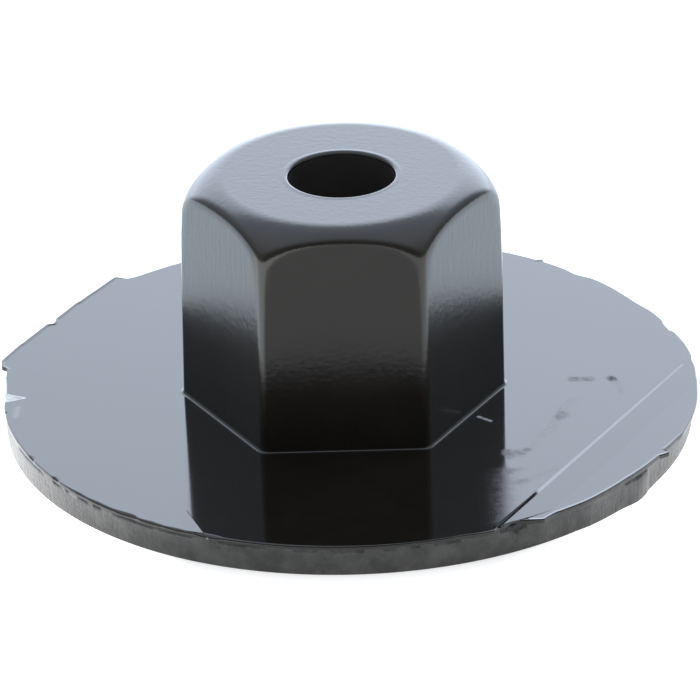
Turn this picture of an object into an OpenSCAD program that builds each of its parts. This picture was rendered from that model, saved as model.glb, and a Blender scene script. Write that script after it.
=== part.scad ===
// Flange nut, moulded in one piece: a hexagon for a spanner stands on a thin round washer flange,
// and a plain bore runs through both, to be pushed or turned onto a stud. The Z axis is the bore's
// axis, the flange's seat lies on the plane z = 0, and one flat of the hexagon faces the front (-Y).
// The flange's edge keeps the thin flash that the mould left on it. All sizes are in millimetres.

/* [Flange] */
// Diameter of the flange at its top edge
flange_d = 24.4; // [18:0.1:32]
// Thickness of the flange
flange_t = 1.12; // [0.6:0.02:2.4]
// Draft of the rim: how far its top edge stands out past its lower edge
rim_draft = 0.04; // [0:0.01:0.2]
// Rounding of the rim's lower edge
rim_edge_r = 0.04; // [0.02:0.02:0.24]
// Mismatch of the two mould halves: the flange sits this far to the right of the bore
mould_shift = 0.16; // [0:0.02:0.3]
// The same mismatch the other way: the flange sits this far behind the bore
mould_shift_back = 0.18; // [0:0.02:0.3]

/* [Hexagon] */
// Width across the flats
hex_af = 9.88; // [8:0.02:12]
// Rounding of the six upright edges
hex_corner_r = 0.36; // [0.1:0.02:1]
// Height of the whole nut, from the seat to the flat on top
nut_h = 9.46; // [6:0.02:14]
// Diameter of the flat on top, where the large rounding starts
top_flat_d = 8.16; // [5.6:0.02:9]
// Radius of the large rounding that takes the corners down
top_round_r = 1.65; // [1.6:0.05:3]
// Radius of the fillet at the hexagon's foot
foot_fillet_r = 0.2; // [0.1:0.05:0.6]

/* [Bore] */
// Diameter of the plain bore
bore_d = 3.72; // [2:0.02:5]
// Rounding of the bore's top edge
bore_edge_r = 0.06; // [0.04:0.02:0.24]
// Mouth of the cone underneath that guides the stud in
lead_in_d = 5.4; // [5.2:0.1:7]
// Depth of that cone
lead_in_depth = 1; // [0.4:0.1:2]

/* [Flash] */
// Thickness of the flash, a film level with the flange's top
flash_t = 0.14; // [0.08:0.02:0.3]
// Direction of the straight cut at the back left, in degrees from the right
cut_dir = 150; // [145:1:155]
// Angle from that direction to the cut's back end
cut_back = 17; // [8:1:24]
// Angle from that direction to the cut's left end
cut_left = 18; // [8:1:20]
// How far the film stands out past the flange at the cut's back end
back_tip_out = 0.46; // [0.1:0.02:0.7]
// How far it stands out at the cut's left end
left_tip_out = 0.6; // [0.1:0.02:0.8]
// How far the middle of the cut stands out
cut_out = 0.04; // [0.02:0.01:0.1]
// Width of the nib that is left at the left end
nib_w = 0.36; // [0.2:0.02:0.8]
// How far the lip on the right stands out past the flange
lip_out = 0.14; // [0.04:0.02:0.3]
// Angle at which the lip starts, at the front
lip_from = -61; // [-80:1:-40]
// Angle at which it ends, at the right
lip_to = 17; // [0:1:40]
// Angle of the torn tongue on the lip
tongue_at = -29; // [-36:1:-20]
// How far the tongue stands out past the flange
tongue_out = 0.28; // [0.16:0.02:0.44]
// Width of the tongue at its root
tongue_w = 0.7; // [0.3:0.05:1.5]

/* [Nicks and swell in the rim] */
// Angle of the narrow nick on the left
slit_at = 182; // [176:1:188]
// Depth of the nick
slit_depth = 0.5; // [0.1:0.05:0.8]
// Width of the nick at the rim
slit_w = 0.28; // [0.1:0.02:0.6]
// Angle of the wider nick at the front, where the film is torn
tear_at = -63; // [-70:1:-56]
// Depth of the tear past the flange's circle
tear_depth = 0.26; // [0.1:0.02:0.5]
// Width of the tear at the rim
tear_w = 0.8; // [0.4:0.1:1.4]
// Angle of the shallow bite at the back right
bite_at = 46; // [35:1:60]
// Depth of the bite
bite_depth = 0.18; // [0.06:0.02:0.3]
// Width of the bite
bite_w = 1.3; // [0.5:0.1:2]
// Angle of the swell in the wall under the lip
swell_at = -36; // [-46:1:-24]
// How far the swell stands out past the flange
swell_out = 0.2; // [0.06:0.02:0.36]
// Width of the swell
swell_w = 2.6; // [1:0.1:4]

/* [Parting line] */
// Distance of the fine straight line on the flange from the rim it runs beside
line_inset = 2.3; // [1:0.1:4]
// Direction square to that line, in degrees from the right
line_dir = -30; // [-50:1:-10]
// Width of the line
line_w = 0.16; // [0.08:0.02:0.4]
// Height of the line above the flange
line_h = 0.03; // [0.02:0.01:0.1]

/* [Hidden] */

$fn = 96;
flange_r = flange_d / 2;
seat_r = flange_r - rim_draft;
half_af = hex_af / 2;
// Distance of a corner's rounding centre from the axis, which is also a flat's length
corner_centre_r = (half_af - hex_corner_r) / cos(30);
top_flat_r = top_flat_d / 2;
bore_r = bore_d / 2;
lead_in_r = lead_in_d / 2;
// How far a cutting shape runs on past the face it opens
past = 0.5;
// How far an added shape reaches into what it grows from
root = 0.3;
// The same inside a corner's rounding, which is smaller
corner_root = hex_corner_r / 2;
// Angle at which the fillet's arc meets the flats and the flange
foot_meet = 12;
// How far the fillet's rings at the corners stand proud of its straight runs
ring_proud = foot_fillet_r / 100;

// Point at a distance and an angle from the centre
function polar(r, a) = [r * cos(a), r * sin(a)];

// Point at a distance out in a direction and a distance along the line square to it
function beside(dir, out, along) = polar(out, dir) + polar(along, dir + 90);

// Round plate with a drafted rim and a rounded lower edge
module flange_disc() {
    rotate_extrude() {
        square([seat_r - rim_edge_r, flange_t]);
        translate([seat_r - rim_edge_r, rim_edge_r])
            circle(r = rim_edge_r);
        polygon([
            [0, rim_edge_r],
            [seat_r, rim_edge_r],
            [flange_r, flange_t],
            [0, flange_t]
        ]);
    }
}

// Film level with the flange's top, in the outline given
module film() {
    translate([0, 0, flange_t - flash_t])
        linear_extrude(height = flash_t)
            children();
}

// Film left by the straight cut at the back left, with its nib
module cut_flash() {
    inner_r = flange_r - root;
    left_end = cut_dir + cut_left;
    nib_end = left_end + nib_w / flange_r * 180 / PI;
    film()
        polygon([
            polar(inner_r, cut_dir - cut_back),
            polar(flange_r + back_tip_out, cut_dir - cut_back),
            polar(flange_r + cut_out, cut_dir),
            polar(flange_r + left_tip_out, left_end),
            polar(flange_r + left_tip_out - nib_w / 3, nib_end),
            polar(flange_r + cut_out, nib_end + 1),
            polar(inner_r, nib_end + 3)
        ]);
}

// Lip of film round the right of the flange
module lip() {
    translate([0, 0, flange_t - flash_t])
        rotate([0, 0, lip_from])
            rotate_extrude(angle = lip_to - lip_from)
                translate([flange_r - root, 0])
                    square([root + lip_out, flash_t]);
}

// Torn tongue on the lip
module tongue() {
    film()
        polygon([
            beside(tongue_at, flange_r - root, -tongue_w / 2),
            beside(tongue_at, flange_r + tongue_out, -tongue_w / 4),
            beside(tongue_at, flange_r, tongue_w / 2),
            beside(tongue_at, flange_r - root, tongue_w / 2)
        ]);
}

// Pointed nick through the film, with its width measured on the flange's circle
module nick(at, depth, width) {
    half_w = width / 2 * (depth + past) / depth;
    translate([0, 0, flange_t - flash_t])
        linear_extrude(height = flash_t + past)
            polygon([
                beside(at, flange_r - depth, 0),
                beside(at, flange_r + past, -half_w),
                beside(at, flange_r + past, half_w)
            ]);
}

// Shallow round bite out of the rim, over its whole thickness
module bite() {
    bite_r = (bite_w * bite_w / 4 + bite_depth * bite_depth) / (2 * bite_depth);
    translate(concat(polar(flange_r - bite_depth + bite_r, bite_at), -past))
        cylinder(h = flange_t + 2 * past, r = bite_r);
}

// Shallow round swell of the wall, under the lip
module swell() {
    swell_r = 1 / (8 * swell_out / (swell_w * swell_w) + 1 / flange_r);
    translate(concat(polar(flange_r + swell_out - swell_r, swell_at), 0))
        cylinder(h = flange_t - flash_t, r = swell_r);
}

// Fine raised line straight across the flange
module parting_line() {
    translate([0, 0, flange_t - root])
        linear_extrude(height = root + line_h)
            intersection() {
                circle(r = flange_r - line_w);
                rotate(line_dir)
                    translate([flange_r - line_inset - line_w / 2, -flange_r])
                        square([line_w, flange_d]);
            }
}

// Flange with all that the mould left on it
module flange() {
    translate([mould_shift, mould_shift_back, 0])
        difference() {
            union() {
                flange_disc();
                cut_flash();
                lip();
                tongue();
                swell();
                parting_line();
            }
            nick(slit_at, slit_depth, slit_w);
            nick(tear_at, tear_depth, tear_w);
            bite();
        }
}

// Outline of the hexagon with its rounded corners, one flat to the front
module hexagon_outline() {
    polygon([
        for (k = [0 : 5])
            for (side = [-30, 30])
                polar(corner_centre_r, 60 * k) + polar(hex_corner_r, 60 * k + side)
    ]);
    for (k = [0 : 5])
        rotate(60 * k)
            translate([corner_centre_r, 0])
                circle(r = hex_corner_r);
}

// Half section of the domed top: a flat, then one large rounding
module dome_section() {
    square([top_flat_r, nut_h]);
    square([top_flat_r + top_round_r, nut_h - top_round_r]);
    translate([top_flat_r, nut_h - top_round_r])
        circle(r = top_round_r);
}

// Hexagon whose corners the domed top takes down
module hexagon() {
    intersection() {
        linear_extrude(height = nut_h + past)
            hexagon_outline();
        rotate_extrude()
            dome_section();
    }
}

// Section of the fillet, with the wall it grows from at x = 0 and the flange's top at y = 0
module fillet_section(inside) {
    reach = foot_fillet_r * cos(foot_meet);
    difference() {
        translate([-inside, -root])
            square([inside + reach, root + reach]);
        translate([reach, reach])
            circle(r = foot_fillet_r);
    }
}

// Fillet round the hexagon's foot: a straight run at each flat and a ring at each corner
module foot_fillet() {
    translate([0, 0, flange_t])
        for (k = [0 : 5]) {
            rotate(60 * k + 30)
                translate([half_af, corner_centre_r / 2, 0])
                    rotate([90, 0, 0])
                        linear_extrude(height = corner_centre_r)
                            fillet_section(root);
            rotate(60 * k)
                translate([corner_centre_r, 0, 0])
                    rotate_extrude()
                        translate([hex_corner_r + ring_proud, 0])
                            fillet_section(corner_root);
        }
}

// Cutting shape of the bore: the guiding cone below, the plain wall, the rounded edge on top
module bore() {
    edge_z = nut_h - bore_edge_r;
    cone_slope = (lead_in_r - bore_r) / lead_in_depth;
    rotate_extrude() {
        polygon([
            [0, -past],
            [lead_in_r + past * cone_slope, -past],
            [bore_r, lead_in_depth],
            [bore_r, nut_h + past],
            [0, nut_h + past]
        ]);
        difference() {
            translate([bore_r - root, edge_z])
                square([root + bore_edge_r, bore_edge_r + past]);
            translate([bore_r + bore_edge_r, edge_z])
                circle(r = bore_edge_r);
        }
    }
}

module flange_nut() {
    color("#1c1d20")
        difference() {
            union() {
                flange();
                hexagon();
                foot_fillet();
            }
            bore();
        }
}

flange_nut();
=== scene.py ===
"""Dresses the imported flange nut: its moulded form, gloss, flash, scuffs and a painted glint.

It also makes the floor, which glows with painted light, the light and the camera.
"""
import logging
import math
import random
from dataclasses import dataclass, fields
from enum import Enum
from typing import Any

import bpy
from mathutils import Matrix, Vector


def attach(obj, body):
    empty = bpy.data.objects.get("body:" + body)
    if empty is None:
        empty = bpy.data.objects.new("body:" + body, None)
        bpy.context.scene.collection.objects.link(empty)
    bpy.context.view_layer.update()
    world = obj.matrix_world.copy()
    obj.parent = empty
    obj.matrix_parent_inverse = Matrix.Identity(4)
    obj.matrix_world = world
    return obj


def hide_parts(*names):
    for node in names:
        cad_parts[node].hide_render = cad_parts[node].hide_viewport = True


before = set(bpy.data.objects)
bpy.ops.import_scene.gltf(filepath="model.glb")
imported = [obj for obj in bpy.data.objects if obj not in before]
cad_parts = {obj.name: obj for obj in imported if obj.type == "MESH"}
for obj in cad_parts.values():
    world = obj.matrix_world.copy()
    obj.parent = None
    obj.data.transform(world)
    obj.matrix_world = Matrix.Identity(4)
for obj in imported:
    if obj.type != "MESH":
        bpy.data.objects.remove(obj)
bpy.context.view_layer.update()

MM = 0.001
NODE = "flange_nut"
BODY = "root"

CORNERS = 6
HALF_CORNER = math.pi / CORNERS
QUARTER_TURN = math.pi / 2
FLANGE_RADIUS = 12.2  # Millimetres

Number = int | float
Point = tuple[float, float]
Span = tuple[float, float]
Colour = tuple[float, float, float, float]
log = logging.getLogger("flange_nut")


# Nodes

class Value:
    """A number that varies over a surface, written with Python's own operators."""

    def __init__(self, sheet: "Sheet", socket: bpy.types.NodeSocket) -> None:
        """Wraps the output that gives the value, and keeps the sheet that its maths goes on."""
        self.sheet = sheet
        self.socket = socket

    def __add__(self, other: "Value | Number") -> "Value":
        """Adds a value or a number."""
        return self.sheet.maths("ADD", self, other)

    def __radd__(self, other: Number) -> "Value":
        """Adds this value to a number."""
        return self.sheet.maths("ADD", other, self)

    def __sub__(self, other: "Value | Number") -> "Value":
        """Takes a value or a number away."""
        return self.sheet.maths("SUBTRACT", self, other)

    def __rsub__(self, other: Number) -> "Value":
        """Takes this value away from a number."""
        return self.sheet.maths("SUBTRACT", other, self)

    def __mul__(self, other: "Value | Number") -> "Value":
        """Multiplies by a value or a number."""
        return self.sheet.maths("MULTIPLY", self, other)

    def __rmul__(self, other: Number) -> "Value":
        """Multiplies a number by this value."""
        return self.sheet.maths("MULTIPLY", other, self)

    def __truediv__(self, other: "Value | Number") -> "Value":
        """Divides by a value or a number."""
        return self.sheet.maths("DIVIDE", self, other)

    def __pow__(self, power: Number) -> "Value":
        """Raises to a power."""
        return self.sheet.maths("POWER", self, power)

    def __abs__(self) -> "Value":
        """Drops the sign."""
        return self.sheet.maths("ABSOLUTE", self)

    def sin(self) -> "Value":
        """Sine of an angle in radians."""
        return self.sheet.maths("SINE", self)

    def cos(self) -> "Value":
        """Cosine of an angle in radians."""
        return self.sheet.maths("COSINE", self)

    def sqrt(self) -> "Value":
        """Square root."""
        return self.sheet.maths("SQRT", self)

    def least(self, other: "Value | Number") -> "Value":
        """The smaller of the two."""
        return self.sheet.maths("MINIMUM", self, other)

    def most(self, other: "Value | Number") -> "Value":
        """The larger of the two."""
        return self.sheet.maths("MAXIMUM", self, other)

    def under(self, limit: "Value | Number") -> "Value":
        """1 where the value is under the limit, else 0."""
        return self.sheet.maths("LESS_THAN", self, limit)

    def zigzag(self, half: Number) -> "Value":
        """Runs up from 0 to half and down again, over and over."""
        return self.sheet.maths("PINGPONG", self, half)

    def ramp(self, start: "Value | Number", end: "Value | Number") -> "Value":
        """Eased way from 0 at the start to 1 at the end, either of which may be the larger."""
        node = self.sheet.add("ShaderNodeMapRange", {"interpolation_type": "SMOOTHSTEP"},
                              {0: self, 1: start, 2: end, 3: 0.0, 4: 1.0})
        return Value(self.sheet, node.outputs[0])

    def towards(self, other: "Value | Number", share: "Value | Number") -> "Value":
        """Blends from this value, where the share is 0, to the other, where it is 1."""
        return self + (other - self) * share


class Sheet:
    """A node tree that nodes are added to, one call each."""

    def __init__(self, tree: bpy.types.NodeTree) -> None:
        """Keeps a shader's or a modifier's node tree."""
        self.tree = tree

    def add(self, kind: str, settings: dict[str, Any] | None = None,
            sockets: dict[Any, Any] | None = None) -> bpy.types.Node:
        """Adds a node.

        Args:
            kind: The node's type.
            settings: Its own settings, which are set first.
            sockets: Numbers, vectors, values or sockets for its inputs, by name or place.

        Returns:
            The node.
        """
        node = self.tree.nodes.new(kind)
        for name, setting in (settings or {}).items():
            setattr(node, name, setting)
        for key, given in (sockets or {}).items():
            if isinstance(given, Value):
                self.tree.links.new(given.socket, node.inputs[key])
            elif isinstance(given, bpy.types.NodeSocket):
                self.tree.links.new(given, node.inputs[key])
            else:
                node.inputs[key].default_value = given
        return node

    def maths(self, operation: str, *values: Value | Number) -> Value:
        """Adds a Math node with its operands, and gives its result."""
        node = self.add("ShaderNodeMath", {"operation": operation}, dict(enumerate(values)))
        return Value(self, node.outputs[0])

    def vector(self, operation: str, sockets: dict[Any, Any]) -> bpy.types.NodeSocket:
        """Adds a Vector Math node with operands by name or place, and gives its vector."""
        return self.add("ShaderNodeVectorMath", {"operation": operation}, sockets).outputs[0]

    def blend(self, share: Value | Number, start: Any, end: Any) -> bpy.types.NodeSocket:
        """Mixes two points: the start where the share is 0, and the end where it is 1."""
        node = self.add("ShaderNodeMix", {"data_type": "VECTOR"}, {0: share, 4: start, 5: end})
        return node.outputs[1]

    def tint(self, share: Value | Number, start: Any, end: Any) -> bpy.types.NodeSocket:
        """Mixes two colours: the start where the share is 0, and the end where it is 1."""
        node = self.add("ShaderNodeMix", {"data_type": "RGBA"}, {0: share, 6: start, 7: end})
        return node.outputs[2]

    def noise(self, place: Any, scale: float, detail: float = 3.0, roughness: float = 0.6) -> Value:
        """Adds a noise.

        Args:
            place: The vector that it reads.
            scale: Its fineness.
            detail: How many finer layers it has.
            roughness: How much the finer layers count.

        Returns:
            Its height, from 0 to 1.
        """
        node = self.add("ShaderNodeTexNoise", {"noise_dimensions": "3D"},
                        {"Vector": place, "Scale": scale, "Detail": detail, "Roughness": roughness})
        return Value(self, node.outputs[0])

    def point(self, x: Any, y: Any, z: Any) -> bpy.types.NodeSocket:
        """Joins three values into a point."""
        return self.add("ShaderNodeCombineXYZ", None, {0: x, 1: y, 2: z}).outputs[0]

    def split(self, place: Any) -> tuple[Value, ...]:
        """Takes a point apart into its X, Y and Z."""
        node = self.add("ShaderNodeSeparateXYZ", None, {0: place})
        return tuple(Value(self, socket) for socket in node.outputs)


def cleared(owner: bpy.types.Material | bpy.types.World) -> Sheet:
    """Empties the node tree of a material or the world, and gives it as a sheet."""
    owner.use_nodes = True
    owner.node_tree.nodes.clear()
    return Sheet(owner.node_tree)


def placed(name: str, data: bpy.types.ID) -> bpy.types.Object:
    """Puts a mesh or a camera into the scene, at the origin."""
    thing = bpy.data.objects.new(name, data)
    bpy.context.scene.collection.objects.link(thing)
    return thing


def turned(axis: str, degrees: float) -> Matrix:
    """Gives a rotation about one axis."""
    return Matrix.Rotation(math.radians(degrees), 4, axis)


# Form

class Zone(Enum):
    """Stretches of the nut's half section, in order from the bore up, over and round."""

    BORE = 0
    BORE_EDGE = 1
    BORE_BURR = 2
    TOP = 3
    DOME = 4
    FLATS = 5
    FOOT = 6
    FLANGE_TOP = 7
    LIP = 8
    FILM_TOP = 9
    FILM_UNDER = 10
    RIM = 11
    RIM_EDGE = 12
    SEAT = 13
    CONE = 14


class Axis(Enum):
    """Upright axes that rings are laid round. The mould's halves and core pin don't line up."""

    HEXAGON = 0
    FLANGE = 1
    BORE = 2


class Skin(Enum):
    """What the mould, or a tear, left on a stretch."""

    SATIN = 0
    POLISHED = 1
    TORN = 2
    BORED = 3
    WHITENED = 4


@dataclass(frozen=True)
class Stretch:
    """Rings laid along one zone of the half section."""

    zone: Zone
    rings: int
    skin: Skin
    held: bool = False
    hold: float = 0.004

    def parts(self) -> list[float]:
        """Places of the rings along the zone, from 0 up to but not at 1.

        Returns:
            One share of the zone's length for each ring. Held zones have one more ring close to each
            end, so that their shading stays flat right up to it.
        """
        even = [i / self.rings for i in range(self.rings)]
        if not self.held:
            return even
        eased = [0.5 - 0.5 * math.cos(math.pi * p) for p in even[1:]]
        return [0.0, self.hold, *eased, 1.0 - self.hold]


STRETCHES = (
    Stretch(Zone.BORE, 4, Skin.BORED, True),
    Stretch(Zone.BORE_EDGE, 4, Skin.SATIN),
    Stretch(Zone.BORE_BURR, 3, Skin.SATIN),
    Stretch(Zone.TOP, 5, Skin.SATIN, True),
    Stretch(Zone.DOME, 26, Skin.SATIN),
    Stretch(Zone.FLATS, 8, Skin.SATIN, True),
    Stretch(Zone.FOOT, 5, Skin.SATIN),
    Stretch(Zone.FLANGE_TOP, 7, Skin.POLISHED, True),
    Stretch(Zone.LIP, 3, Skin.POLISHED),
    Stretch(Zone.FILM_TOP, 3, Skin.POLISHED),
    Stretch(Zone.FILM_UNDER, 3, Skin.TORN),
    Stretch(Zone.RIM, 5, Skin.TORN),
    Stretch(Zone.RIM_EDGE, 3, Skin.TORN),
    Stretch(Zone.SEAT, 4, Skin.SATIN, True),
    Stretch(Zone.CONE, 3, Skin.BORED, True),
)


@dataclass(frozen=True)
class NutSizes:
    """Sizes of the moulded form, in metres, each with its own input on the tree."""

    flange_radius: float = FLANGE_RADIUS * MM
    flange_thickness: float = 1.12 * MM
    rim_draft: float = 0.04 * MM
    rim_edge: float = 0.04 * MM
    flange_shift_x: float = 0.17 * MM
    flange_shift_y: float = 0.18 * MM
    film_thickness: float = 0.14 * MM
    film_edge: float = 0.02 * MM
    lip_width: float = 0.12 * MM
    half_across_flats: float = 4.972 * MM
    flats_lean: float = 0.0083
    axis_lean: float = 0.0079
    corner_rounding: float = 0.365 * MM
    height: float = 9.46 * MM
    top_flat_radius: float = 4.09 * MM
    dome_rounding: float = 1.4 * MM
    dome_flare: float = 0.1
    crease_blend: float = 0.38 * MM
    corner_blend: float = 0.18 * MM
    foot_fillet: float = 0.12 * MM
    front_narrowing: float = 0.62
    bore_radius: float = 1.86 * MM
    bore_edge: float = 0.13 * MM
    bore_burr: float = 0.012 * MM
    burr_width: float = 0.15 * MM
    bore_shift_x: float = 0.05 * MM
    bore_shift_y: float = -0.07 * MM
    cone_mouth_radius: float = 2.7 * MM
    cone_depth: float = 1.0 * MM


@dataclass(frozen=True)
class Flaw:
    """A run of the rim where something departs from its plain circle.

    Each knot is an angle in degrees from +X and a length in millimetres. Between two knots the length
    runs evenly, or, where the flaw is cut straight, along the chord.
    """

    knots: tuple[Point, ...]
    straight: bool = False
    step: float = 0.3

    def turn(self, angle: float) -> float:
        """How far an angle lies on from the first knot, in degrees from 0 to 360."""
        return (angle - self.knots[0][0]) % 360

    def size(self, angle: float, radius: float) -> float:
        """The flaw's length at an angle.

        Args:
            angle: In degrees from +X.
            radius: The plain circle's radius in millimetres.

        Returns:
            Millimetres, and 0 outside the run.
        """
        place = self.turn(angle)
        for (a, low), (b, high) in zip(self.knots, self.knots[1:]):
            start, end = self.turn(a), self.turn(b)
            if start <= place <= end:
                share = (place - start) / (end - start)
                if not self.straight:
                    return low + (high - low) * share
                wide = math.radians(end - start)
                inverse = (math.sin(wide * (1 - share)) / (radius + low)
                           + math.sin(wide * share) / (radius + high))
                return math.sin(wide) / inverse - radius
        return 0.0


@dataclass(frozen=True)
class Rim:
    """The flange's outline as the mould and the tools left it.

    Lengths are in millimetres and angles in degrees. Steps are how far apart the mesh's spokes lie.
    The last spoke is the furthest place for one, so that none crowds the first.
    """

    radius: float = FLANGE_RADIUS
    film: tuple[Flaw, ...] = (
        Flaw(((53.3, 0.0), (54.0, 0.16), (54.7, 0.0)), step=0.2),
        Flaw(((130.2, 0.0), (131.2, 0.06), (132.3, 0.46)), step=0.25),
        Flaw(((132.3, 0.46), (143.2, 0.03), (143.9, 0.05), (150.6, -0.05)), straight=True, step=0.35),
        Flaw(((150.6, -0.05), (151.8, -0.16), (152.7, -0.16), (153.2, 0.02))),
        Flaw(((153.2, 0.02), (161.5, 0.21), (161.9, 0.25), (168.2, 0.51)), straight=True, step=0.35),
        Flaw(((168.2, 0.51), (170.1, 0.39), (170.6, 0.18), (172.8, 0.11), (174.0, 0.09),
              (176.5, 0.0), (180.0, -0.06)), step=0.25),
        Flaw(((183.2, 0.0), (184.5, 0.03), (191.0, 0.04), (198.0, 0.0)), step=0.5),
        Flaw(((186.6, 0.0), (187.1, -0.08), (187.6, 0.0)), step=0.15),
        Flaw(((229.4, 0.0), (230.4, -0.03), (231.6, -0.05), (233.8, 0.0)), step=0.25),
        Flaw(((288.5, 0.0), (290.6, 0.08), (293.3, 0.11), (293.9, -0.02), (295.6, -0.12),
              (297.3, -0.26), (297.8, -0.19), (299.6, 0.04), (301.6, 0.28), (303.0, 0.19),
              (304.6, 0.12), (311.2, 0.15), (316.6, 0.10), (320.8, 0.07), (325.5, 0.10),
              (330.2, 0.13))),
        Flaw(((330.2, 0.13), (331.8, 0.34), (332.2, 0.30), (332.5, 0.10)), step=0.15),
        Flaw(((332.5, 0.10), (335.8, 0.15), (338.8, 0.23), (341.8, 0.21), (350.3, 0.20),
              (355.0, 0.15), (0.0, 0.12), (4.0, 0.135), (6.0, 0.10), (7.6, 0.16), (12.0, 0.14),
              (16.6, 0.08), (17.6, 0.03)), step=0.5),
    )
    wall: tuple[Flaw, ...] = (
        Flaw(((17.2, 0.0), (18.0, -0.04), (20.5, -0.04), (22.0, 0.04), (26.0, 0.02), (28.0, -0.05),
              (30.0, -0.08), (34.0, -0.07), (38.0, -0.03), (42.5, -0.03), (44.0, -0.13),
              (46.0, -0.20), (48.5, -0.10), (53.5, -0.06), (60.0, -0.05), (118.0, -0.08),
              (128.0, -0.06), (131.0, 0.0)), step=0.6),
        Flaw(((180.3, 0.0), (181.7, -0.6), (182.0, -0.6), (183.1, 0.0)), step=0.12),
    )
    swell: tuple[Flaw, ...] = (
        Flaw(((309.0, 0.0), (312.0, 0.05), (319.0, 0.05), (320.6, 0.09), (321.8, 0.14),
              (323.2, 0.18), (324.6, 0.17), (326.0, 0.13), (327.6, 0.04), (331.0, 0.0)),),
    )
    raised: tuple[Flaw, ...] = (
        Flaw(((131.4, 0.0), (133.0, 0.03), (168.0, 0.03), (172.0, 0.01), (176.0, 0.0)), step=0.6),
        Flaw(((293.9, 0.0), (294.4, 0.022), (332.0, 0.022), (345.0, 0.006), (16.0, 0.0)), step=0.6),
    )
    blunt: tuple[Flaw, ...] = (
        Flaw(((203.6, 0.01), (204.0, 0.09), (205.3, 0.09), (205.8, 0.01)), step=0.2),
        Flaw(((212.2, 0.01), (212.7, 0.09), (213.9, 0.08), (214.4, 0.01)), step=0.2),
        Flaw(((216.0, 0.0), (218.0, 0.03), (220.0, 0.06), (222.0, 0.03), (224.5, 0.07),
              (228.0, 0.05), (229.5, 0.09), (232.5, 0.09), (233.3, 0.03), (236.0, 0.08),
              (238.5, 0.03), (241.0, 0.07), (244.0, 0.02), (245.4, 0.11), (247.4, 0.11),
              (249.0, 0.03)), step=0.35),
        Flaw(((249.0, 0.03), (262.0, 0.03), (275.0, 0.01), (286.0, 0.0)), step=0.75),
    )
    whitened: Flaw = Flaw(((180.2, 1.0), (183.1, 1.0)), step=0.12)
    ragged: float = 0.01
    ragged_step: float = 0.75
    seed: int = 11
    coarse_step: float = 0.75
    corner_step: float = 0.16
    near_corner: float = 2.6
    last_spoke: float = 359.95

    def raggedness(self) -> list[float]:
        """Uneven film all round, the same each run.

        Returns:
            How far the film falls short, in millimetres, for each step of the circle.
        """
        dice, steps = random.Random(self.seed), round(360 / self.ragged_step)
        return [self.ragged * (1.0 - dice.random() ** 2) for _ in range(steps)]

    def sum(self, flaws: tuple[Flaw, ...], angle: float) -> float:
        """Adds up flaws at an angle, in metres."""
        return sum(f.size(angle, self.radius) for f in flaws) * MM

    def film_out(self, angle: float, uneven: list[float]) -> float:
        """How far the film stands out past the flange's circle, in metres.

        Args:
            angle: In degrees from +X.
            uneven: The raggedness.

        Returns:
            The overhang, negative where the film is chipped.
        """
        place = angle / self.ragged_step
        share = place - int(place)
        low, high = (uneven[(int(place) + k) % len(uneven)] for k in (0, 1))
        return self.sum(self.film, angle) - (low + (high - low) * share) * MM

    def spokes(self) -> list[float]:
        """Angles of the mesh's spokes, close together at the hexagon's corners and at the flaws.

        Returns:
            Angles in degrees, rising from 0.
        """
        corners = [360 / CORNERS * k for k in range(CORNERS + 1)]
        close = [(c - self.near_corner, c + self.near_corner, self.corner_step) for c in corners]
        for flaw in (*self.film, *self.wall, *self.swell, *self.raised, *self.blunt, self.whitened):
            first, last = flaw.knots[0][0], flaw.knots[-1][0]
            close.append((first - flaw.step, first + flaw.turn(last) + flaw.step, flaw.step))
        angles, angle = [], 0.0
        while angle < self.last_spoke:
            angles.append(angle)
            steps = [s for a, b, s in close for whole in (0, 360) if a <= angle + whole <= b]
            angle += min([self.coarse_step, *steps])
        return angles


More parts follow.
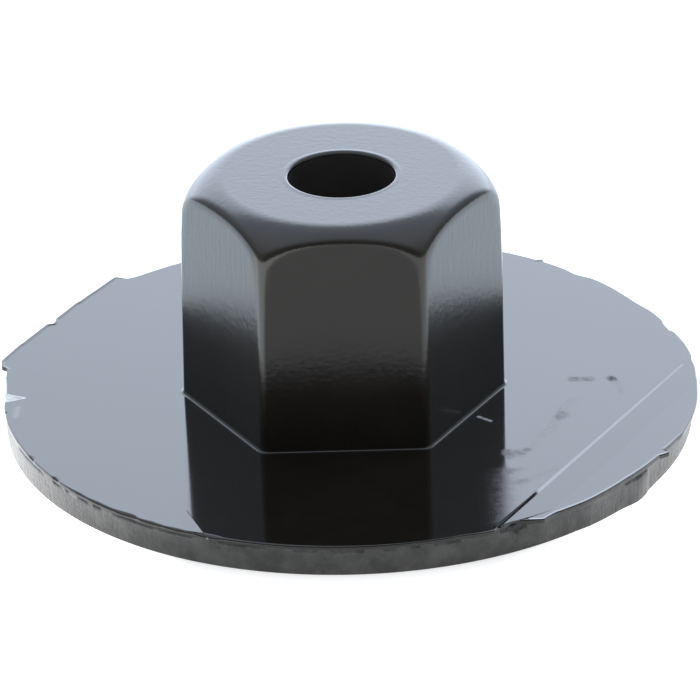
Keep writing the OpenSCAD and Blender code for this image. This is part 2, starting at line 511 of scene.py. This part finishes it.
class Blank:
    """Closed ring of quads that carries its angle, zone and place, for the tree to lay out."""

    def __init__(self, rim: Rim) -> None:
        """Works out the rings, and the spokes, which lie close together at the rim's flaws."""
        self.rim = rim
        self.spokes = rim.spokes()
        self.rings = [(s.zone, p, s.skin) for s in STRETCHES for p in s.parts()]

    def mesh(self) -> bpy.types.Mesh:
        """Makes the blank.

        Returns:
            A closed mesh with the attributes that the tree reads.
        """
        rim, rings, spokes = self.rim, len(self.rings), len(self.spokes)
        places = [(math.cos(math.radians(a)), math.sin(math.radians(a)), j / rings)
                  for a in self.spokes for j in range(rings)]
        quads = []
        for i in range(spokes):
            here, there = i * rings, (i + 1) % spokes * rings
            for j in range(rings):
                on = (j + 1) % rings
                quads.append((here + j, here + on, there + on, there + j))
        mesh = bpy.data.meshes.new("blank")
        mesh.from_pydata(places, [], quads)
        uneven = rim.raggedness()
        per_spoke = {
            "angle": [math.radians(a) for a in self.spokes],
            "film": [rim.film_out(a, uneven) for a in self.spokes],
        }
        for name in ("wall", "swell", "raised", "blunt"):
            per_spoke[name] = [rim.sum(getattr(rim, name), a) for a in self.spokes]
        for name, values in per_spoke.items():
            self.attribute(mesh, name, "FLOAT", "POINT", [v for v in values for _ in range(rings)])
        self.attribute(mesh, "part", "FLOAT", "POINT", [p for _, p, _ in self.rings] * spokes)
        self.attribute(mesh, "zone", "INT", "POINT", [z.value for z, _, _ in self.rings] * spokes)
        skins = [self.skin(zone, skin, a).value for a in self.spokes for zone, _, skin in self.rings]
        self.attribute(mesh, "skin", "INT", "FACE", skins)
        return mesh

    def skin(self, zone: Zone, skin: Skin, angle: float) -> Skin:
        """The skin of a quad, which is whitened where the rim was slit."""
        torn = zone in (Zone.LIP, Zone.FILM_TOP, Zone.FILM_UNDER, Zone.RIM, Zone.RIM_EDGE)
        return Skin.WHITENED if torn and self.rim.whitened.size(angle, self.rim.radius) else skin

    @staticmethod
    def attribute(mesh: bpy.types.Mesh, name: str, kind: str, domain: str,
                  values: list[Any]) -> None:
        """Writes an attribute, with one value for each point or face."""
        mesh.attributes.new(name, kind, domain).data.foreach_set("value", values)


class NutTree:
    """Geometry Nodes tree that lays the blank along the nut's form."""

    front_span: Span = (-0.83, -0.9)  # Sines of the angles over which the front fillet narrows
    dome_sweep: float = math.radians(80)
    least_edge: float = 0.1  # Share of the film's edge that is left where the wall reaches it
    chip_fade: int = 4  # Power with which a chip runs out down the wall

    def __init__(self, sizes: NutSizes) -> None:
        """Builds the tree.

        Args:
            sizes: The sizes that its inputs start from.
        """
        self.sizes = sizes
        self.tree = bpy.data.node_groups.new("moulded_form", "GeometryNodeTree")
        self.socket("Blank", "Geometry")
        for f in fields(sizes):
            self.socket(label(f.name), "Float").default_value = getattr(sizes, f.name)
        for skin in Skin:
            self.socket(finish_label(skin), "Material")
        self.socket("Nut", "Geometry", "OUTPUT")
        self.sheet = Sheet(self.tree)
        self.given = self.sheet.add("NodeGroupInput")
        self.angle = self.read("angle")
        self.part = self.read("part")
        self.turn = self.part * QUARTER_TURN
        self.back, self.drop = 1.0 - self.turn.cos(), 1.0 - self.turn.sin()
        self.lay()

    def socket(self, name: str, kind: str, way: str = "INPUT") -> Any:
        """Adds an input or an output to the tree."""
        return self.tree.interface.new_socket(name=name, in_out=way, socket_type=f"NodeSocket{kind}")

    def size(self, name: str) -> Value:
        """One of the tree's sizes, by its field's name."""
        return Value(self.sheet, self.given.outputs[label(name)])

    def read(self, name: str, kind: str = "FLOAT") -> Value:
        """Reads an attribute of the blank, by its name and data type."""
        node = self.sheet.add("GeometryNodeInputNamedAttribute", {"data_type": kind}, {"Name": name})
        return Value(self.sheet, node.outputs[0])

    def hexagon(self, out: Value | Number, lean: Value | Number = 0.0) -> Value:
        """Radius of the rounded hexagon at the spoke's angle.

        Args:
            out: How far its whole outline is moved out.
            lean: How far its flats stand in from where they are at the foot.

        Returns:
            The distance from the hexagon's axis.
        """
        half = self.size("half_across_flats") + out - lean
        rounding = self.size("corner_rounding") + out
        centre = (half - rounding) / math.cos(HALF_CORNER)
        turn = self.angle.zigzag(HALF_CORNER)
        flat = half / (HALF_CORNER - turn).cos()
        across = centre * turn.sin()
        arc = centre * turn.cos() + (rounding * rounding - across * across).most(0.0).sqrt()
        on_flat = (flat * (HALF_CORNER - turn).sin()).under(centre * math.sin(HALF_CORNER))
        return arc.towards(flat, on_flat)

    def body(self, z: Value, crown: Value) -> Value:
        """Radius of the hexagon where the domed top takes its corners down, with a blended crease.

        Args:
            z: The height.
            crown: The height of the flat on top.

        Returns:
            The distance from the hexagon's axis.
        """
        rounding = self.size("dome_rounding")
        rise = (z - crown + rounding).most(0.0)
        dome = self.size("top_flat_radius") + (rounding * rounding - rise * rise).most(0.0).sqrt()
        dome = dome + self.size("dome_flare") * (crown - z)
        walls = self.hexagon(0.0, self.size("flats_lean") * (z - self.size("flange_thickness")))
        middle = self.angle.zigzag(HALF_CORNER).ramp(0.0, HALF_CORNER)
        blend = self.size("corner_blend").towards(self.size("crease_blend"), middle)
        near = (blend - abs(walls - dome)).most(0.0)
        return walls.least(dome) - near * near / (4.0 * blend)

    def fillet(self) -> Value:
        """Radius of the fillet round the hexagon's foot, which is narrower on the front flat."""
        front = self.angle.sin().ramp(*self.front_span)
        return self.size("foot_fillet") * (1.0 - self.size("front_narrowing") * front)

    def ring(self, radius: Value | Number, z: Value | Number,
             axis: Axis = Axis.HEXAGON) -> bpy.types.NodeSocket:
        """Point on the spoke at a distance from one of the axes.

        Args:
            radius: The distance.
            z: The height.
            axis: The axis that the distance is measured from.

        Returns:
            The point's socket.
        """
        x, y = self.angle.cos() * radius, self.angle.sin() * radius
        if axis is Axis.FLANGE:
            x, y = x + self.size("flange_shift_x"), y + self.size("flange_shift_y")
        else:
            x = x + self.size("axis_lean") * (z - self.size("flange_thickness"))
        if axis is Axis.BORE:
            x, y = x + self.size("bore_shift_x"), y + self.size("bore_shift_y")
        return self.sheet.point(x, y, z)

    def places(self) -> dict[Zone, bpy.types.NodeSocket]:
        """Places of all the zones' points."""
        return {**self.hexagon_places(), **self.flange_places()}

    def hexagon_places(self) -> dict[Zone, bpy.types.NodeSocket]:
        """Places of the bore's, the domed top's and the hexagon's points."""
        size, part, ring, back, drop = self.size, self.part, self.ring, self.back, self.drop
        height, crown = size("height"), size("height") - size("bore_burr")
        bore, edge, fillet = size("bore_radius"), size("bore_edge"), self.fillet()
        rounding, foot_z = size("dome_rounding"), size("flange_thickness")
        dome_z = crown - rounding * (1.0 - (part * self.dome_sweep).cos())
        dome_foot = crown - rounding * (1.0 - math.cos(self.dome_sweep))
        flats_z = dome_foot.towards(foot_z + fillet, part)
        burr = bore + edge
        burr_foot = burr + size("burr_width")
        return {
            Zone.BORE: ring(bore, size("cone_depth").towards(height - edge, part), Axis.BORE),
            Zone.BORE_EDGE: ring(bore + edge * back, height - edge * drop, Axis.BORE),
            Zone.BORE_BURR: ring(burr.towards(burr_foot, part), height.towards(crown, part),
                                 Axis.BORE),
            Zone.TOP: self.sheet.blend(part, ring(burr_foot, crown, Axis.BORE),
                                       ring(size("top_flat_radius"), crown)),
            Zone.DOME: ring(self.body(dome_z, crown), dome_z),
            Zone.FLATS: ring(self.body(flats_z, crown), flats_z),
            Zone.FOOT: ring(self.hexagon(fillet * back), foot_z + fillet * drop),
            Zone.CONE: ring(size("cone_mouth_radius").towards(bore, part), size("cone_depth") * part,
                            Axis.BORE),
        }

    def flange_places(self) -> dict[Zone, bpy.types.NodeSocket]:
        """Places of the flange's points, from the hexagon's foot to the cone's mouth."""
        size, part, ring, back, drop = self.size, self.part, self.ring, self.back, self.drop
        thick, radius, draft = size("flange_thickness"), size("flange_radius"), size("rim_draft")
        edge, low_edge = size("film_edge") + self.read("blunt"), size("rim_edge")
        wall, film = self.read("wall"), self.read("film")
        outer = radius + film + wall
        lip, lip_z = outer - edge, thick + self.read("raised")
        lip_foot, film_z = lip - size("lip_width"), thick - size("film_thickness")
        low = radius - draft + wall + self.read("swell")
        slope = draft / thick
        wall_top = low + slope * film_z
        sharp = size("film_edge")
        under_edge = (outer - wall_top).most(self.least_edge * sharp).least(sharp)
        rim_z = film_z.towards(low_edge, part)
        chipped = (wall_top - outer).most(0.0) * (1.0 - part) ** self.chip_fade
        corner = low + slope * low_edge - low_edge
        return {
            Zone.FLANGE_TOP: self.sheet.blend(part, ring(self.hexagon(self.fillet()), thick),
                                              ring(lip_foot, thick, Axis.FLANGE)),
            Zone.LIP: ring(lip_foot.towards(lip, part), thick.towards(lip_z, part), Axis.FLANGE),
            Zone.FILM_TOP: ring(lip + edge * self.turn.sin(), lip_z - edge * back, Axis.FLANGE),
            Zone.FILM_UNDER: ring(outer - under_edge * back, film_z + under_edge * drop,
                                  Axis.FLANGE),
            Zone.RIM: ring(low + slope * rim_z - chipped, rim_z, Axis.FLANGE),
            Zone.RIM_EDGE: ring(corner + low_edge * self.turn.cos(), low_edge * drop, Axis.FLANGE),
            Zone.SEAT: self.sheet.blend(part, ring(corner, 0.0, Axis.FLANGE),
                                        ring(size("cone_mouth_radius"), 0.0, Axis.BORE)),
        }

    def lay(self) -> None:
        """Moves the blank's points to their places, and gives each skin its finish."""
        places = self.places()
        switch = self.sheet.add("GeometryNodeIndexSwitch", {"data_type": "VECTOR"})
        while len(switch.index_switch_items) < len(places):
            switch.index_switch_items.new()
        self.tree.links.new(self.read("zone", "INT").socket, switch.inputs[0])
        for zone, place in places.items():
            self.tree.links.new(place, switch.inputs[zone.value + 1])
        blank = self.given.outputs["Blank"]
        laid = self.sheet.add("GeometryNodeSetPosition", None,
                              {"Geometry": blank, "Position": switch.outputs[0]})
        smooth = self.sheet.add("GeometryNodeSetShadeSmooth", None, {"Geometry": laid.outputs[0]})
        real = self.sheet.add("GeometryNodeRealizeInstances", None, {"Geometry": smooth.outputs[0]})
        shape = real.outputs[0]
        for skin in Skin:
            same = {"data_type": "INT", "operation": "EQUAL"}
            chosen = self.sheet.add("FunctionNodeCompare", same,
                                    {2: self.read("skin", "INT"), 3: skin.value})
            shape = self.sheet.add("GeometryNodeSetMaterial", None,
                                   {"Geometry": shape, "Selection": chosen.outputs[0],
                                    "Material": self.given.outputs[finish_label(skin)]}).outputs[0]
        self.sheet.add("NodeGroupOutput", None, {0: shape})


def label(name: str) -> str:
    """Turns a field's name into the name of an input on the tree."""
    return name.replace("_", " ").capitalize()


def finish_label(skin: Skin) -> str:
    """Names the tree's input for a skin's finish."""
    return f"{skin.name.capitalize()} finish"


@dataclass(frozen=True)
class Ridge:
    """A long low wedge that stands on the flange's top: a short face up to a crest, then a fall.

    The crest runs along the left of the way from start to end, and the fall lies beyond it. Lengths
    are in millimetres, places are from the flange's centre, and lengths with two numbers run evenly
    from the start's to the end's. The wedge is cut off where it would pass the rim.
    """

    name: str
    start: Point
    end: Point
    face: Span
    rise: Span
    fall: Span
    sunk: float = 0.03
    stations: int = 60
    rim_radius: float = 12.14
    least_fall: float = 0.01

    def room(self, place: Vector, across: Vector) -> float:
        """How far the rim is from a place in a direction, in millimetres."""
        along = place.dot(across)
        inside = self.rim_radius ** 2 - place.length_squared + along * along
        return math.sqrt(max(inside, 0.0)) - along

    def mesh(self, centre: Vector) -> bpy.types.Mesh:
        """Makes the wedge.

        Args:
            centre: The centre of the flange's top, in metres.

        Returns:
            A closed mesh in metres.
        """
        way = Vector(self.end) - Vector(self.start)
        across = Vector((-way.y, way.x)).normalized()
        points = []
        for i in range(self.stations + 1):
            share = i / self.stations
            place = Vector(self.start) + way * share
            face, rise, fall = (a + (b - a) * share for a, b in (self.face, self.rise, self.fall))
            reach = min(fall, max(self.room(place, across) - face, self.least_fall))
            near, far = -face / 2, face / 2 + reach
            section = ((near, -self.sunk), (near, 0.0), (face / 2, rise),
                       (far, rise * (1.0 - reach / fall)), (far, -self.sunk))
            points += [centre + Vector((place.x + across.x * u, place.y + across.y * u, z)) * MM
                       for u, z in section]
        sides = 5
        faces = [tuple(range(sides)), tuple(range(len(points) - 1, len(points) - 1 - sides, -1))]
        for i in range(self.stations):
            for j in range(sides):
                a, b = i * sides + j, i * sides + (j + 1) % sides
                faces.append((a, a + sides, b + sides, b))
        mesh = bpy.data.meshes.new(self.name)
        mesh.from_pydata(points, [], faces)
        return mesh


RIDGES = (
    Ridge("parting_step", (11.90, 0.92), (4.96, -11.08),
          face=(0.10, 0.20), rise=(0.016, 0.04), fall=(1.0, 1.0)),
    Ridge("torn_flap", (4.86, -11.12), (6.18, -8.83),
          face=(0.035, 0.012), rise=(0.065, 0.015), fall=(0.05, 0.02)),
    Ridge("corner_wave", (-5.02, -11.05), (-5.62, -9.30),
          face=(0.03, 0.03), rise=(0.055, 0.006), fall=(0.7, 0.07)),
)


# Finishes

@dataclass(frozen=True)
class Stroke:
    """A mark on the flange seen from above, as a soft line through points.

    The points are in millimetres from the flange's centre. Within the core, a share of the width,
    the mark shows in full.
    """

    points: tuple[Point, ...]
    width: float
    rough: float = 0.0
    pale: float = 0.0
    relief: float = 0.0
    core: float = 0.15

    def mask(self, sheet: Sheet, x: Value, y: Value) -> Value:
        """How much the mark shows.

        Args:
            sheet: The shader's sheet.
            x: The surface's X in millimetres.
            y: The surface's Y in millimetres.

        Returns:
            From 0 to 1.
        """
        shown = None
        for (ax, ay), (bx, by) in zip(self.points, self.points[1:]):
            dx, dy = bx - ax, by - ay
            along = (((x - ax) * dx + (y - ay) * dy) / (dx * dx + dy * dy)).most(0.0).least(1.0)
            off_x, off_y = x - ax - dx * along, y - ay - dy * along
            near = (off_x * off_x + off_y * off_y).sqrt().ramp(self.width, self.core * self.width)
            shown = near if shown is None else shown.most(near)
        return shown


SCUFFS_AND_GLINT = (
    Stroke(((7.92, -0.03), (8.52, -0.07)), 0.34, rough=0.42),
    Stroke(((7.60, 0.04), (8.80, -0.04)), 0.50, rough=0.10),
    Stroke(((9.28, 0.02), (9.34, -0.12)), 0.30, rough=0.50),
    Stroke(((9.34, -0.10), (9.52, -0.55), (9.63, -1.20)), 0.34, rough=0.24),
    Stroke(((7.90, -1.72), (7.62, -2.05), (7.48, -2.80)), 0.55, rough=0.22),
    Stroke(((7.48, -2.80), (7.06, -3.72), (6.62, -4.47), (6.30, -5.30)), 0.42, rough=0.20),
    Stroke(((7.20, -2.60), (6.80, -3.90)), 0.90, rough=0.08),
    Stroke(((5.50, -5.60), (6.02, -5.50)), 0.40, rough=0.34),
    Stroke(((5.60, -6.00), (5.95, -5.85)), 0.30, rough=0.22),
    Stroke(((5.80, -7.85), (6.30, -7.55), (7.04, -6.92)), 0.34, rough=0.22),
    Stroke(((5.44, -7.02), (6.24, -6.72)), 0.34, rough=0.16),
    Stroke(((4.53, -2.78), (4.93, -3.13)), 0.11, pale=0.6, relief=0.3),
    # A painted glint: a small bright dot on the rim's edge at the front left.
    Stroke(((-4.93, -11.20), (-4.93, -11.24)), 0.08, pale=0.9),
    Stroke(((-11.71, -1.12), (-11.76, -1.82)), 0.18, pale=0.14),
    Stroke(((7.04, 9.78), (7.29, 9.84)), 0.18, rough=0.5),
    Stroke(((5.20, -7.40), (5.28, -10.60)), 1.25, rough=0.15),
)


@dataclass(frozen=True)
class PlasticFinish:
    """Black moulded plastic, as one skin of the mould left it.

    Lengths are in millimetres. A span is where a ramp starts and where it ends.
    """

    name: str
    colour: Colour
    haze: Colour
    roughness: float
    spread: float
    grain: float
    grain_depth: float
    streaks: float = 0.0
    blotch: float = 2.4
    ior: float = 1.5
    foot_rough: float = 0.0
    foot_span: Span = (7.6, 5.6)
    haze_span: Span = (0.35, 0.75)
    streak_squash: float = 0.12
    marks: tuple[Stroke, ...] = ()
    mark_relief: float = 8.0
    patch_scale: float = 5.0
    patch_span: Span = (0.3, 0.7)
    patch_least: float = 0.5
    pale: Colour = (0.6, 0.62, 0.65, 1.0)

    def material(self, centre: Point) -> bpy.types.Material:
        """Makes the material.

        Args:
            centre: The flange's centre, which the marks are measured from.

        Returns:
            A material whose pattern reads the piece's Object coordinates.
        """
        material = bpy.data.materials.new(self.name)
        sheet = cleared(material)
        given = sheet.add("ShaderNodeTexCoord").outputs["Object"]
        place = sheet.vector("SCALE", {0: given, "Scale": 1 / MM})
        x, y, z = sheet.split(place)
        cloud = sheet.noise(place, 1 / self.blotch, detail=4.0)
        fine = sheet.noise(place, 1 / self.grain)
        upright = sheet.noise(sheet.point(x, y, z * self.streak_squash), 1 / self.grain)
        colour = sheet.tint(cloud.ramp(*self.haze_span), self.colour, self.haze)
        middle = 0.5 * (2.0 + self.streaks)
        rough = self.roughness + (fine + cloud + self.streaks * upright - middle) * self.spread
        if self.foot_rough:
            rough = rough + self.foot_rough * z.ramp(*self.foot_span)
        relief = fine + upright * self.streaks
        patch = sheet.noise(place, self.patch_scale, roughness=0.7).ramp(*self.patch_span)
        patchy = self.patch_least + (1.0 - self.patch_least) * patch
        for mark in self.marks:
            shown = mark.mask(sheet, x - centre[0], y - centre[1]) * patchy
            rough = rough + shown * mark.rough
            relief = relief + shown * (mark.relief * self.mark_relief)
            if mark.pale:
                colour = sheet.tint(shown * mark.pale, colour, self.pale)
        bump = sheet.add("ShaderNodeBump", None,
                         {"Strength": 1.0, "Distance": self.grain_depth * MM, "Height": relief})
        shader = sheet.add("ShaderNodeBsdfPrincipled", None,
                           {"Base Color": colour, "Roughness": rough, "Normal": bump.outputs[0],
                            "IOR": self.ior})
        sheet.add("ShaderNodeOutputMaterial", None, {0: shader.outputs[0]})
        return material


BLACK = (0.0042, 0.0036, 0.0026, 1.0)
BLACK_HAZE = (0.0062, 0.0054, 0.0042, 1.0)
FINISHES = {
    Skin.SATIN: PlasticFinish(
        "satin_hexagon", BLACK, BLACK_HAZE, roughness=0.17, spread=0.04, grain=0.2,
        grain_depth=0.005, streaks=1.0, ior=1.47, foot_rough=0.03),
    Skin.POLISHED: PlasticFinish(
        "polished_flange", BLACK, BLACK_HAZE, roughness=0.07, spread=0.02, grain=0.8,
        grain_depth=0.0008, marks=SCUFFS_AND_GLINT),
    Skin.TORN: PlasticFinish(
        "torn_rim", (0.012, 0.012, 0.011, 1), (0.05, 0.05, 0.048, 1), roughness=0.30, spread=0.12,
        grain=0.16, grain_depth=0.03, streaks=0.5, blotch=0.9),
    Skin.BORED: PlasticFinish(
        "dull_bore", (0.016, 0.015, 0.014, 1), (0.022, 0.021, 0.02, 1), roughness=0.5, spread=0.1,
        grain=0.2, grain_depth=0.004),
    Skin.WHITENED: PlasticFinish(
        "whitened_tear", (0.5, 0.51, 0.53, 1), (0.62, 0.64, 0.66, 1), roughness=0.6, spread=0.1,
        grain=0.1, grain_depth=0.01),
}


class MouldedNut:
    """The nut, one moulded piece, with the low wedges that stand on its flange."""

    def __init__(self, sizes: NutSizes, rim: Rim) -> None:
        """Keeps the form's sizes and the outline's flaws."""
        self.sizes = sizes
        self.rim = rim

    def build(self) -> list[bpy.types.Object]:
        """Builds and dresses the pieces.

        Returns:
            The finished pieces, plain meshes.
        """
        centre = (self.sizes.flange_shift_x / MM, self.sizes.flange_shift_y / MM)
        finishes = {skin: finish.material(centre) for skin, finish in FINISHES.items()}
        pieces = [self.form(finishes), *(self.ridge(r, finishes[Skin.POLISHED]) for r in RIDGES)]
        for piece in pieces:
            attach(piece, BODY)
            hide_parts(NODE)
        return pieces

    def form(self, finishes: dict[Skin, bpy.types.Material]) -> bpy.types.Object:
        """Lays the blank along the form.

        Args:
            finishes: A material for each skin.

        Returns:
            The nut's body.
        """
        tree = NutTree(self.sizes).tree
        blank = placed("moulded_nut", Blank(self.rim).mesh())
        modifier = blank.modifiers.new("moulded_form", "NODES")
        modifier.node_group = tree
        inputs = {finish_label(skin): material for skin, material in finishes.items()}
        inputs.update({label(f.name): getattr(self.sizes, f.name) for f in fields(self.sizes)})
        for item in tree.interface.items_tree:
            if item.in_out == "INPUT" and item.name in inputs:
                modifier[item.identifier] = inputs[item.name]
        laid = blank.evaluated_get(bpy.context.evaluated_depsgraph_get())
        mesh = bpy.data.meshes.new_from_object(laid, preserve_all_data_layers=False)
        blank.modifiers.clear()
        blank.data = mesh
        return blank

    def ridge(self, ridge: Ridge, finish: bpy.types.Material) -> bpy.types.Object:
        """Makes a wedge on the flange.

        Args:
            ridge: Its course and sizes.
            finish: Its material.

        Returns:
            The wedge's object.
        """
        sizes = self.sizes
        top = Vector((sizes.flange_shift_x, sizes.flange_shift_y, sizes.flange_thickness))
        mesh = ridge.mesh(top)
        mesh.materials.append(finish)
        return placed(ridge.name, mesh)


# Studio

@dataclass(frozen=True)
class Viewpoint:
    """The camera: its place on a ring round the nut, and small turns of its own, in degrees."""

    distance: float = 223.80 * MM
    azimuth: float = 0.2401
    elevation: float = 26.829
    yaw: float = 0.0626
    pitch: float = 0.5919
    roll: float = 1.6156
    lens: float = 324.08
    sensor: float = 36.0
    clip: Span = (10 * MM, 10.0)

    def build(self) -> bpy.types.Object:
        """Makes the scene's camera.

        Returns:
            The camera.
        """
        data = bpy.data.cameras.new("camera")
        data.sensor_width = self.sensor
        data.lens = self.lens
        data.clip_start, data.clip_end = self.clip
        camera = placed("camera", data)
        around = turned("Z", self.azimuth) @ turned("X", 90 - self.elevation)
        away = Matrix.Translation((0, 0, self.distance))
        own = turned("Y", -self.yaw) @ turned("X", self.pitch) @ turned("Z", -self.roll)
        camera.matrix_world = around @ away @ own
        bpy.context.scene.camera = camera
        return camera


@dataclass(frozen=True)
class Studio:
    """Pale floor that glows with painted light, and a soft dome of light with one bright panel behind
    the nut.

    A span is where a ramp starts and where it ends. The spans called way are of how far a direction
    faces back, from 1 for straight back to -1 for straight to the front, and those called height are
    of its Z.
    """

    floor_size: float = 3.0
    floor_drop: float = 0.005 * MM
    panel: float = 3.58
    panel_lean: float = 0.7
    lean_limit: float = 0.08
    zenith: float = 1.55
    horizon: float = 0.7
    front_horizon: float = 0.3
    side_dim: float = 0.15
    least_level: float = 0.001
    panel_way: Span = (0.6, 0.88)
    panel_height: Span = (0.76, 0.6)
    front_way: Span = (-0.2, -0.8)
    front_height: Span = (0.3, 0.95)
    back_height: Span = (0.1, 0.9)
    dim_back_way: Span = (0.62, 0.4)
    dim_front_way: Span = (-0.5, -0.1)
    dim_height: Span = (0.85, 0.55)
    cool_way: Span = (0.0, 0.6)
    cool_height: Span = (0.3, 0.8)
    cool_overhead: float = 0.6
    cool: Colour = (0.93, 1.035, 1.215, 1.0)
    neutral: Colour = (1.0, 1.0, 1.0, 1.0)
    # The floor's glow is painted light, which the flats reflect: brighter behind and beside the nut
    # than in front.
    paper_glow: float = 2.0
    paper_front: Colour = (0.66, 0.62, 0.58, 1.0)
    paper_back: Colour = (0.60, 0.62, 0.63, 1.0)
    paper_rough: float = 0.9
    tooth_scale: float = 900.0
    tooth_least: float = 0.9
    tooth_share: float = 0.2
    glow_front: Colour = (0.16, 0.15, 0.13, 1.0)
    # Painted shade close to the rim behind the nut, and painted fill close to it in front.
    painted_near_rim_glow: Colour = (0.23, 0.23, 0.225, 1.0)
    glow_back: Colour = (0.70, 0.81, 0.89, 1.0)
    glow_left: float = 0.95
    glow_right: float = 0.42
    glow_span: Span = (-20 * MM, 4 * MM)
    left_span: Span = (-5 * MM, -11 * MM)
    right_span: Span = (5 * MM, 11 * MM)
    beside_span: Span = (2 * MM, -3 * MM)
    near_span: Span = (12.8 * MM, 17 * MM)

    def build(self) -> bpy.types.Object:
        """Makes the floor and the light.

        Returns:
            The floor.
        """
        self.light()
        half, low = self.floor_size / 2, -self.floor_drop
        corners = [(-half, -half, low), (half, -half, low), (half, half, low), (-half, half, low)]
        mesh = bpy.data.meshes.new("floor")
        mesh.from_pydata(corners, [], [(0, 1, 2, 3)])
        mesh.materials.append(self.paper())
        floor = placed("floor", mesh)
        return floor

    def paper(self) -> bpy.types.Material:
        """Makes matt white paper that glows with painted light, more behind the nut and beside it
        than in front, with painted shade close to the rim behind it and painted fill close to the rim
        in front.

        Returns:
            The floor's material.
        """
        material = bpy.data.materials.new("white_paper_painted_glow")
        sheet = cleared(material)
        place = sheet.add("ShaderNodeTexCoord").outputs["Object"]
        x, y, _ = sheet.split(place)
        behind = y.ramp(*self.glow_span)
        left, right = x.ramp(*self.left_span), x.ramp(*self.right_span)
        # Painted light on the floor beside the nut, towards the front, which the side flats reflect.
        beside = (self.glow_left * left + self.glow_right * right) * y.ramp(*self.beside_span)
        grain = sheet.noise(place, self.tooth_scale, roughness=0.5)
        tooth = self.tooth_least + self.tooth_share * grain
        colour = sheet.tint(behind * tooth, self.paper_front, self.paper_back)
        # Painted shade close to the rim behind the nut, and painted fill close to it in front.
        clear = (x * x + y * y).sqrt().ramp(*self.near_span)
        front = sheet.tint(clear, self.painted_near_rim_glow, self.glow_front)
        lit = sheet.tint(behind * clear, front, self.glow_back)
        glow = sheet.vector("ADD", {0: lit, 1: sheet.point(beside, beside, beside)})
        shader = sheet.add("ShaderNodeBsdfPrincipled", None,
                           {"Base Color": colour, "Roughness": self.paper_rough,
                            "Emission Color": glow, "Emission Strength": self.paper_glow,
                            "Specular IOR Level": 0.0})
        sheet.add("ShaderNodeOutputMaterial", None, {0: shader.outputs[0]})
        return material

    def light(self) -> None:
        """Lights the scene from a dome, brightest low down behind and darkest low in front."""
        world = bpy.data.worlds.new("studio")
        bpy.context.scene.world = world
        sheet = cleared(world)
        x, y, z = sheet.split(sheet.add("ShaderNodeTexCoord").outputs["Generated"])
        facing = y / (x * x + y * y).sqrt().most(self.least_level)
        front = facing.ramp(*self.front_way)
        horizon = self.horizon + (self.front_horizon - self.horizon) * front
        rise = z.ramp(*self.back_height) * (1.0 - front) + z.ramp(*self.front_height) * front
        aside = facing.ramp(*self.dim_back_way) * facing.ramp(*self.dim_front_way)
        dimmed = 1.0 - self.side_dim * aside * z.ramp(*self.dim_height)
        base = horizon.towards(self.zenith, rise) * dimmed
        leaning = self.panel_lean * x.most(-self.lean_limit).least(self.lean_limit)
        behind = facing.ramp(*self.panel_way) * z.ramp(*self.panel_height)
        strength = base.towards(self.panel * (1.0 + leaning), behind)
        cool = facing.ramp(*self.cool_way).most(self.cool_overhead * z.ramp(*self.cool_height))
        glow = sheet.add("ShaderNodeBackground", None,
                         {"Color": sheet.tint(cool, self.neutral, self.cool), "Strength": strength})
        sheet.add("ShaderNodeOutputWorld", None, {0: glow.outputs[0]})


def main() -> None:
    """Builds the camera, the studio and the nut, and reports each."""
    logging.basicConfig(level=logging.INFO, format="%(name)s: %(message)s")
    scene = bpy.context.scene
    scene.view_settings.view_transform = "Standard"
    scene.view_settings.look = "None"
    log.info("camera %s", Viewpoint().build().name)
    log.info("stage %s", Studio().build().name)
    for piece in MouldedNut(NutSizes(), Rim()).build():
        points, faces = len(piece.data.vertices), len(piece.data.polygons)
        log.info("piece %s: %d points, %d faces", piece.name, points, faces)


if __name__ == "__main__":
    main()
